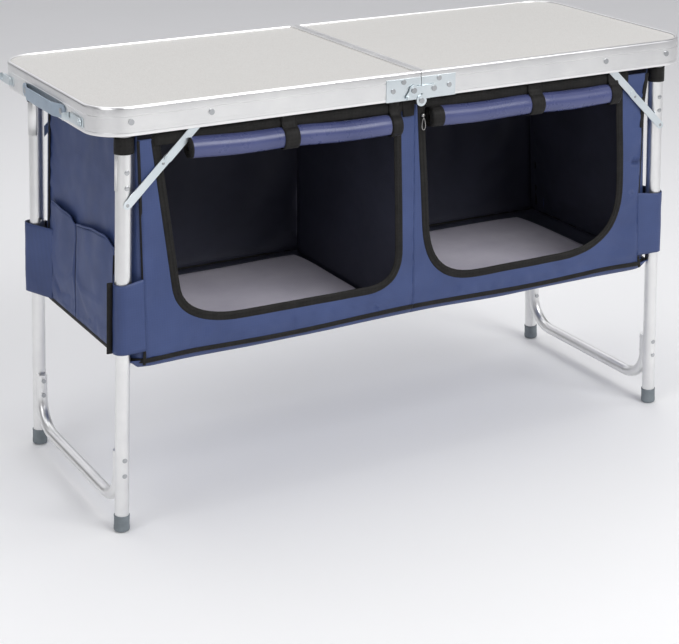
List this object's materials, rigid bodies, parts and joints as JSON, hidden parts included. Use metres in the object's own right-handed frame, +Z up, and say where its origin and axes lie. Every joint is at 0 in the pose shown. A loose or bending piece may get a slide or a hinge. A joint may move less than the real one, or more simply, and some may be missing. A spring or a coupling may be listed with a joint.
{
  "type": "camp kitchen table",
  "caption": "Suitcase-folding camp kitchen table with an aluminium rimmed top, telescopic splayed legs, folding stays and a hanging fabric organiser with roll-up doors.",
  "frame": {"origin": "on the floor, below the middle of the open top's bounding box", "axes": "+X along the top towards the end without a handle, +Y to the back, +Z up"},
  "size_m": [1.2215, 0.4918, 0.755],
  "materials": {
    "laminate": "pale speckled laminate",
    "aluminium": "satin extruded aluminium",
    "zinc_plate": "zinc plated steel",
    "rivet": "bright rivet",
    "foot_rubber": "grey ferrule",
    "handle_plastic": "moulded strap",
    "navy_cloth": "coated polyester",
    "floor_pad": "stiffened floor pad"
  },
  "bodies": {
    "left_top": {"left_panel": "laminate", "left_rim": "aluminium", "left_seam_rail": "aluminium", "left_hinge_leaves": "zinc_plate", "hinge_pins": "rivet", "lever_rivets": "rivet", "left_rim_rivets": "rivet", "left_leg_axles": "rivet", "left_stay_pins": "rivet", "carry_handle": "handle_plastic", "handle_studs": "rivet", "catch_bases": "zinc_plate", "left_floor_pad": "floor_pad", "left_organiser_base": "navy_cloth", "left_front_panel": "navy_cloth", "left_organiser_walls": "navy_cloth", "left_rolled_door": "navy_cloth", "centre_partition": "navy_cloth", "left_leg_sleeves": "navy_cloth"},
    "right_top": {"right_panel": "laminate", "right_rim": "aluminium", "right_seam_rail": "aluminium", "right_hinge_leaves": "zinc_plate", "lock_pins": "rivet", "right_rim_rivets": "rivet", "right_leg_axles": "rivet", "right_stay_pins": "rivet", "catch_strikes": "zinc_plate", "right_floor_pad": "floor_pad", "right_organiser_base": "navy_cloth", "right_front_panel": "navy_cloth", "right_organiser_walls": "navy_cloth", "right_rolled_door": "navy_cloth", "right_leg_sleeves": "navy_cloth"},
    "front_lever": {"front_lock_lever": "zinc_plate"},
    "rear_lever": {"rear_lock_lever": "zinc_plate"},
    "front_catch": {"front_catch_arm": "zinc_plate"},
    "rear_catch": {"rear_catch_arm": "zinc_plate"},
    "left_upper_legs": {"front_left_upper_leg": "aluminium", "rear_left_upper_leg": "aluminium", "left_stay_studs": "rivet"},
    "left_lower_legs": {"front_left_lower_leg": "aluminium", "rear_left_lower_leg": "aluminium", "left_foot_bar": "aluminium", "left_bar_rivets": "rivet", "left_feet": "foot_rubber", "left_snap_buttons": "rivet"},
    "left_rim_links": {"left_stay_rim_links": "zinc_plate"},
    "left_leg_links": {"left_stay_leg_links": "zinc_plate"},
    "right_upper_legs": {"front_right_upper_leg": "aluminium", "rear_right_upper_leg": "aluminium", "right_stay_studs": "rivet"},
    "right_lower_legs": {"front_right_lower_leg": "aluminium", "rear_right_lower_leg": "aluminium", "right_foot_bar": "aluminium", "right_bar_rivets": "rivet", "right_feet": "foot_rubber", "right_snap_buttons": "rivet"},
    "right_rim_links": {"right_stay_rim_links": "zinc_plate"},
    "right_leg_links": {"right_stay_leg_links": "zinc_plate"}
  },
  "joints": [
    {"name": "left_leg_fold", "type": "hinge", "parent": "left_top", "child": "left_upper_legs", "pos_m": [-0.541, 0, 0.73], "axis": [0, -1, 0], "range_deg": [0, 93.1], "deforming": ["left_floor_pad", "left_organiser_base", "left_front_panel", "left_organiser_walls", "left_rolled_door", "left_leg_sleeves", "centre_partition", "right_floor_pad", "right_organiser_base", "right_front_panel", "right_organiser_walls", "right_rolled_door", "right_leg_sleeves"]},
    {"name": "left_leg_slide", "type": "slide", "parent": "left_upper_legs", "child": "left_lower_legs", "axis": [0.0541, 0, 0.9985], "range_m": [0, 0.258], "deforming": ["left_snap_buttons"]},
    {"name": "left_stay_rim_pivot", "type": "hinge", "parent": "left_top", "child": "left_rim_links", "pos_m": [-0.4, 0, 0.73], "axis": [0, 1, 0], "range_deg": [0, 43.45]},
    {"name": "left_stay_leg_pivot", "type": "hinge", "parent": "left_upper_legs", "child": "left_leg_links", "pos_m": [-0.54863, 0, 0.58921], "axis": [0, -1, 0], "range_deg": [0, 43.45]},
    {"name": "right_leg_fold", "type": "hinge", "parent": "right_top", "child": "right_upper_legs", "pos_m": [0.541, 0, 0.73], "axis": [0, 1, 0], "range_deg": [0, 93.1]},
    {"name": "right_leg_slide", "type": "slide", "parent": "right_upper_legs", "child": "right_lower_legs", "axis": [-0.0541, 0, 0.9985], "range_m": [0, 0.258], "deforming": ["right_snap_buttons"]},
    {"name": "right_stay_rim_pivot", "type": "hinge", "parent": "right_top", "child": "right_rim_links", "pos_m": [0.4, 0, 0.73], "axis": [0, -1, 0], "range_deg": [0, 43.45]},
    {"name": "right_stay_leg_pivot", "type": "hinge", "parent": "right_upper_legs", "child": "right_leg_links", "pos_m": [0.54863, 0, 0.58921], "axis": [0, 1, 0], "range_deg": [0, 43.45]},
    {"name": "table_fold", "type": "hinge", "parent": "left_top", "child": "right_top", "pos_m": [0, 0, 0.703], "axis": [0, 1, 0], "range_deg": [0, 24]},
    {"name": "front_lever_turn", "type": "hinge", "parent": "left_top", "child": "front_lever", "pos_m": [-0.017, 0, 0.723], "axis": [0, -1, 0], "range_deg": [0, 70]},
    {"name": "rear_lever_turn", "type": "hinge", "parent": "left_top", "child": "rear_lever", "pos_m": [-0.017, 0, 0.723], "axis": [0, -1, 0], "range_deg": [0, 70]},
    {"name": "front_catch_turn", "type": "hinge", "parent": "left_top", "child": "front_catch", "pos_m": [-0.6, -0.169, 0.723], "axis": [-1, 0, 0], "range_deg": [0, 90]},
    {"name": "rear_catch_turn", "type": "hinge", "parent": "left_top", "child": "rear_catch", "pos_m": [-0.6, 0.169, 0.723], "axis": [-1, 0, 0], "range_deg": [0, 90]}
  ],
  "couplings": [
    {"joint": "right_leg_fold", "follows": "left_leg_fold", "ratio": 1},
    {"joint": "table_fold", "follows": "left_leg_fold", "ratio": 0.25779},
    {"joint": "front_lever_turn", "follows": "left_leg_fold", "ratio": 0.75188},
    {"joint": "rear_lever_turn", "follows": "left_leg_fold", "ratio": 0.75188},
    {"joint": "left_leg_slide", "follows": "left_leg_fold", "m_per_rad": 0.15878},
    {"joint": "left_stay_rim_pivot", "follows": "left_leg_fold", "ratio": 0.4667},
    {"joint": "left_stay_leg_pivot", "follows": "left_leg_fold", "ratio": 0.4667},
    {"joint": "right_leg_slide", "follows": "left_leg_fold", "m_per_rad": 0.15878},
    {"joint": "right_stay_rim_pivot", "follows": "left_leg_fold", "ratio": 0.4667},
    {"joint": "right_stay_leg_pivot", "follows": "left_leg_fold", "ratio": 0.4667}
  ]
}
